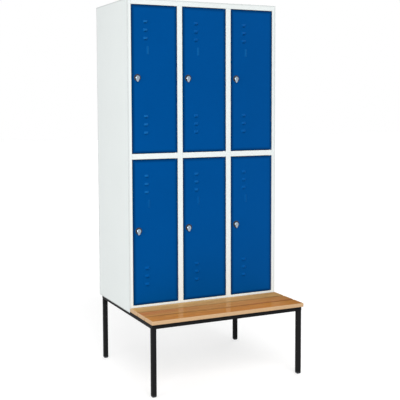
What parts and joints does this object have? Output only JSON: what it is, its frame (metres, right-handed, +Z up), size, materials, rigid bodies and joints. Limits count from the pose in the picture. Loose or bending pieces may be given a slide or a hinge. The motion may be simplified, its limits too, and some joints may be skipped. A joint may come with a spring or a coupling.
{
  "type": "clothes locker with bench",
  "caption": "Steel clothes locker in columns and tiers with hinged vented doors and turn latches, on a square-tube frame that reaches forward to carry a slatted wooden bench.",
  "frame": {"origin": "on the floor, under the middle of the whole footprint of locker and bench", "axes": "+Z up, +X to the right of someone facing the doors, +Y from the bench to the locker's back"},
  "size_m": [0.9, 0.815, 2.05],
  "materials": {
    "white_paint": "light grey-white powder coat with fine orange peel",
    "blue_paint": "gentian blue powder coat, satin",
    "black_paint": "black powder coat, satin",
    "seat_wood": "clear lacquered beech, warm orange-brown",
    "bright_metal": "satin nickel plated zinc die casting",
    "rosette_plastic": "black moulded plastic",
    "zinc_steel": "zinc plated steel",
    "foot_plastic": "black moulded plastic"
  },
  "bodies": {
    "locker": {"left_side_panel": "white_paint", "right_side_panel": "white_paint", "back_panel": "white_paint", "top_panel": "white_paint", "bottom_panel": "white_paint", "left_partition": "white_paint", "right_partition": "white_paint", "shelf_left": "white_paint", "shelf_middle": "white_paint", "shelf_right": "white_paint", "coat_rail_lower_left": "zinc_steel", "coat_rail_lower_middle": "zinc_steel", "coat_rail_lower_right": "zinc_steel", "coat_rail_upper_left": "zinc_steel", "coat_rail_upper_middle": "zinc_steel", "coat_rail_upper_right": "zinc_steel", "leg_front_left": "black_paint", "leg_front_right": "black_paint", "leg_rear_left": "black_paint", "leg_rear_right": "black_paint", "side_rail_left": "black_paint", "side_rail_right": "black_paint", "front_rail": "black_paint", "rear_rail": "black_paint", "middle_rail": "black_paint", "seat_support_rail": "black_paint", "foot_caps": "foot_plastic", "seat_slat_front": "seat_wood", "seat_slat_middle": "seat_wood", "seat_slat_rear": "seat_wood", "slat_screws": "zinc_steel", "base_screws": "zinc_steel", "hinge_pins": "zinc_steel", "hinge_washers": "zinc_steel"},
    "lower_left_door": {"door_lower_left": "blue_paint", "lock_housing_lower_left": "rosette_plastic"},
    "lower_left_lock": {"lock_knob_lower_left": "bright_metal", "lock_cam_lower_left": "zinc_steel"},
    "lower_middle_door": {"door_lower_middle": "blue_paint", "lock_housing_lower_middle": "rosette_plastic"},
    "lower_middle_lock": {"lock_knob_lower_middle": "bright_metal", "lock_cam_lower_middle": "zinc_steel"},
    "lower_right_door": {"door_lower_right": "blue_paint", "lock_housing_lower_right": "rosette_plastic"},
    "lower_right_lock": {"lock_knob_lower_right": "bright_metal", "lock_cam_lower_right": "zinc_steel"},
    "upper_left_door": {"door_upper_left": "blue_paint", "lock_housing_upper_left": "rosette_plastic"},
    "upper_left_lock": {"lock_knob_upper_left": "bright_metal", "lock_cam_upper_left": "zinc_steel"},
    "upper_middle_door": {"door_upper_middle": "blue_paint", "lock_housing_upper_middle": "rosette_plastic"},
    "upper_middle_lock": {"lock_knob_upper_middle": "bright_metal", "lock_cam_upper_middle": "zinc_steel"},
    "upper_right_door": {"door_upper_right": "blue_paint", "lock_housing_upper_right": "rosette_plastic"},
    "upper_right_lock": {"lock_knob_upper_right": "bright_metal", "lock_cam_upper_right": "zinc_steel"}
  },
  "joints": [
    {"name": "lower_left_door_hinge", "type": "hinge", "parent": "locker", "child": "lower_left_door", "pos_m": [-0.174, -0.0865, 0.412], "axis": [0, 0, 1], "range_deg": [0, 110]},
    {"name": "lower_left_latch_turn", "type": "hinge", "parent": "lower_left_door", "child": "lower_left_lock", "pos_m": [-0.395, -0.0925, 0.815], "axis": [0, 1, 0], "range_deg": [0, 90]},
    {"name": "lower_middle_door_hinge", "type": "hinge", "parent": "locker", "child": "lower_middle_door", "pos_m": [0.122, -0.0865, 0.412], "axis": [0, 0, 1], "range_deg": [0, 110]},
    {"name": "lower_middle_latch_turn", "type": "hinge", "parent": "lower_middle_door", "child": "lower_middle_lock", "pos_m": [-0.099, -0.0925, 0.815], "axis": [0, 1, 0], "range_deg": [0, 90]},
    {"name": "lower_right_door_hinge", "type": "hinge", "parent": "locker", "child": "lower_right_door", "pos_m": [0.418, -0.0865, 0.412], "axis": [0, 0, 1], "range_deg": [0, 110]},
    {"name": "lower_right_latch_turn", "type": "hinge", "parent": "lower_right_door", "child": "lower_right_lock", "pos_m": [0.197, -0.0925, 0.815], "axis": [0, 1, 0], "range_deg": [0, 90]},
    {"name": "upper_left_door_hinge", "type": "hinge", "parent": "locker", "child": "upper_left_door", "pos_m": [-0.174, -0.0865, 1.232], "axis": [0, 0, 1], "range_deg": [0, 110]},
    {"name": "upper_left_latch_turn", "type": "hinge", "parent": "upper_left_door", "child": "upper_left_lock", "pos_m": [-0.395, -0.0925, 1.635], "axis": [0, 1, 0], "range_deg": [0, 90]},
    {"name": "upper_middle_door_hinge", "type": "hinge", "parent": "locker", "child": "upper_middle_door", "pos_m": [0.122, -0.0865, 1.232], "axis": [0, 0, 1], "range_deg": [0, 110]},
    {"name": "upper_middle_latch_turn", "type": "hinge", "parent": "upper_middle_door", "child": "upper_middle_lock", "pos_m": [-0.099, -0.0925, 1.635], "axis": [0, 1, 0], "range_deg": [0, 90]},
    {"name": "upper_right_door_hinge", "type": "hinge", "parent": "locker", "child": "upper_right_door", "pos_m": [0.418, -0.0865, 1.232], "axis": [0, 0, 1], "range_deg": [0, 110]},
    {"name": "upper_right_latch_turn", "type": "hinge", "parent": "upper_right_door", "child": "upper_right_lock", "pos_m": [0.197, -0.0925, 1.635], "axis": [0, 1, 0], "range_deg": [0, 90]}
  ]
}
